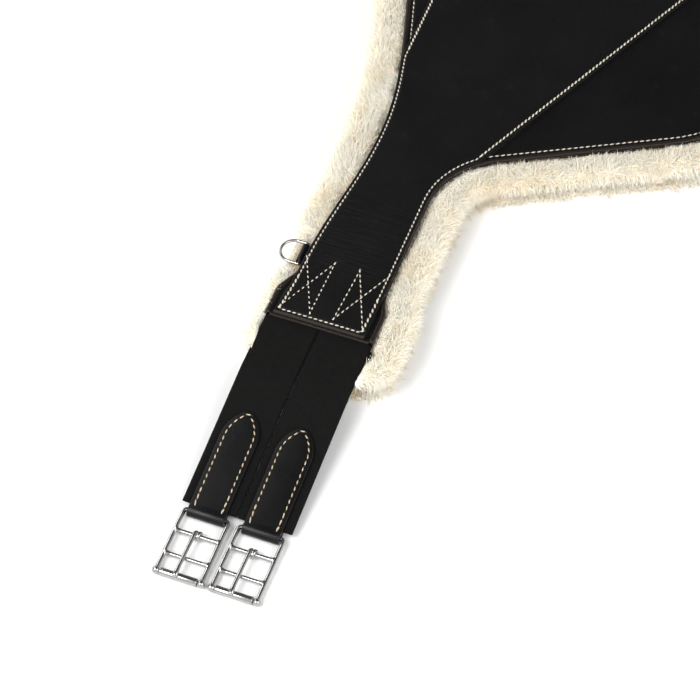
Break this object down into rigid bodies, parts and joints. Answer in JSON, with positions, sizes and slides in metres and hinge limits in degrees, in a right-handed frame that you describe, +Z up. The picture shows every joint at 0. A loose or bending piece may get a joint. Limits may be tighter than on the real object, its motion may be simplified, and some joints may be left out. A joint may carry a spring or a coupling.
{
  "type": "stud guard girth",
  "caption": "Leather stud guard girth with a wide belly plate, sheepskin liner, elastic ends, roller buckles and rings for fastening to a saddle.",
  "frame": {"origin": "centre of the box's base, on the ground under the belly plate, halfway between the ends", "axes": "+X along the girth towards the off end, +Y towards the front edge with the rings, +Z up from the wool side to the leather side"},
  "size_m": [1.2, 0.338, 0.026],
  "materials": {
    "wool": "fluffy undyed sheepskin pile",
    "hide": "suede back of the sheepskin",
    "lining_leather": "matt lining leather",
    "webbing": "woven load webbing",
    "board": "stiff fibre board",
    "foam": "thin closed-cell foam",
    "black_leather": "smooth black bridle leather, fine grain, soft sheen",
    "tab_leather": "black buckle leather with a polished fold",
    "edge_leather": "rolled dark brown edge, waxed",
    "raw_edge": "cut leather edge with fibres showing",
    "elastic": "woven black elastic web",
    "thread": "waxed cream thread",
    "tab_thread": "waxed tan thread",
    "steel": "polished stainless steel"
  },
  "bodies": {
    "girth": {"wool_pile": "wool", "sheepskin_hide": "hide", "lining": "lining_leather", "webbing_core": "webbing", "plate_stiffener": "board", "plate_foam": "foam", "body_panel": "black_leather", "edge_binding": "edge_leather", "top_strap": "black_leather", "liner_studs": "steel", "near_ring_keeper": "black_leather", "off_ring_keeper": "black_leather", "centre_ring_keeper": "black_leather"},
    "near_front_strap": {"near_front_elastic": "elastic", "near_front_tab": "tab_leather"},
    "near_front_buckle": {"near_front_frame": "steel"},
    "near_front_tongue": {"near_front_tongue": "steel"},
    "near_front_roller": {"near_front_roller": "steel"},
    "near_rear_strap": {"near_rear_elastic": "elastic", "near_rear_tab": "tab_leather"},
    "near_rear_buckle": {"near_rear_frame": "steel"},
    "near_rear_tongue": {"near_rear_tongue": "steel"},
    "near_rear_roller": {"near_rear_roller": "steel"},
    "off_front_strap": {"off_front_elastic": "elastic", "off_front_tab": "tab_leather"},
    "off_front_buckle": {"off_front_frame": "steel"},
    "off_front_tongue": {"off_front_tongue": "steel"},
    "off_front_roller": {"off_front_roller": "steel"},
    "off_rear_strap": {"off_rear_elastic": "elastic", "off_rear_tab": "tab_leather"},
    "off_rear_buckle": {"off_rear_frame": "steel"},
    "off_rear_tongue": {"off_rear_tongue": "steel"},
    "off_rear_roller": {"off_rear_roller": "steel"},
    "near_ring": {"near_ring": "steel"},
    "off_ring": {"off_ring": "steel"},
    "centre_ring": {"centre_ring": "steel"}
  },
  "joints": [
    {"name": "near_front_stretch", "type": "slide", "parent": "girth", "child": "near_front_strap", "axis": [-1, 0, 0], "range_m": [0, 0.035], "stiffness_N_per_m": 4000},
    {"name": "near_front_buckle_hinge", "type": "hinge", "parent": "near_front_strap", "child": "near_front_buckle", "pos_m": [-0.54933, 0.101, 0.0044], "axis": [0, 1, 0], "range_deg": [-90, 60]},
    {"name": "near_front_tongue_hinge", "type": "hinge", "parent": "near_front_buckle", "child": "near_front_tongue", "pos_m": [-0.56572, 0.101, 0.00382], "axis": [0, 1, 0], "range_deg": [0, 120]},
    {"name": "near_front_roller_spin", "type": "hinge", "parent": "near_front_buckle", "child": "near_front_roller", "pos_m": [-0.5973, 0.101, 0.0027], "axis": [0, 1, 0], "continuous": true},
    {"name": "near_rear_stretch", "type": "slide", "parent": "girth", "child": "near_rear_strap", "axis": [-1, 0, 0], "range_m": [0, 0.035], "stiffness_N_per_m": 4000},
    {"name": "near_rear_buckle_hinge", "type": "hinge", "parent": "near_rear_strap", "child": "near_rear_buckle", "pos_m": [-0.54933, 0.063, 0.0044], "axis": [0, 1, 0], "range_deg": [-90, 60]},
    {"name": "near_rear_tongue_hinge", "type": "hinge", "parent": "near_rear_buckle", "child": "near_rear_tongue", "pos_m": [-0.56572, 0.063, 0.00382], "axis": [0, 1, 0], "range_deg": [0, 120]},
    {"name": "near_rear_roller_spin", "type": "hinge", "parent": "near_rear_buckle", "child": "near_rear_roller", "pos_m": [-0.5973, 0.063, 0.0027], "axis": [0, 1, 0], "continuous": true},
    {"name": "off_front_stretch", "type": "slide", "parent": "girth", "child": "off_front_strap", "axis": [1, 0, 0], "range_m": [0, 0.035], "stiffness_N_per_m": 4000},
    {"name": "off_front_buckle_hinge", "type": "hinge", "parent": "off_front_strap", "child": "off_front_buckle", "pos_m": [0.54933, 0.101, 0.0044], "axis": [0, -1, 0], "range_deg": [-90, 60]},
    {"name": "off_front_tongue_hinge", "type": "hinge", "parent": "off_front_buckle", "child": "off_front_tongue", "pos_m": [0.56572, 0.101, 0.00382], "axis": [0, -1, 0], "range_deg": [0, 120]},
    {"name": "off_front_roller_spin", "type": "hinge", "parent": "off_front_buckle", "child": "off_front_roller", "pos_m": [0.5973, 0.101, 0.0027], "axis": [0, 1, 0], "continuous": true},
    {"name": "off_rear_stretch", "type": "slide", "parent": "girth", "child": "off_rear_strap", "axis": [1, 0, 0], "range_m": [0, 0.035], "stiffness_N_per_m": 4000},
    {"name": "off_rear_buckle_hinge", "type": "hinge", "parent": "off_rear_strap", "child": "off_rear_buckle", "pos_m": [0.54933, 0.063, 0.0044], "axis": [0, -1, 0], "range_deg": [-90, 60]},
    {"name": "off_rear_tongue_hinge", "type": "hinge", "parent": "off_rear_buckle", "child": "off_rear_tongue", "pos_m": [0.56572, 0.063, 0.00382], "axis": [0, -1, 0], "range_deg": [0, 120]},
    {"name": "off_rear_roller_spin", "type": "hinge", "parent": "off_rear_buckle", "child": "off_rear_roller", "pos_m": [0.5973, 0.063, 0.0027], "axis": [0, 1, 0], "continuous": true},
    {"name": "near_ring_hinge", "type": "hinge", "parent": "girth", "child": "near_ring", "pos_m": [-0.33883, 0.11542, 0.01888], "axis": [1, 0, 0], "range_deg": [0, 105]},
    {"name": "off_ring_hinge", "type": "hinge", "parent": "girth", "child": "off_ring", "pos_m": [0.33883, 0.11542, 0.01888], "axis": [1, 0, 0], "range_deg": [0, 105]},
    {"name": "centre_ring_hinge", "type": "hinge", "parent": "girth", "child": "centre_ring", "pos_m": [0, 0.1487, 0.01948], "axis": [1, 0, 0], "range_deg": [0, 105]}
  ]
}
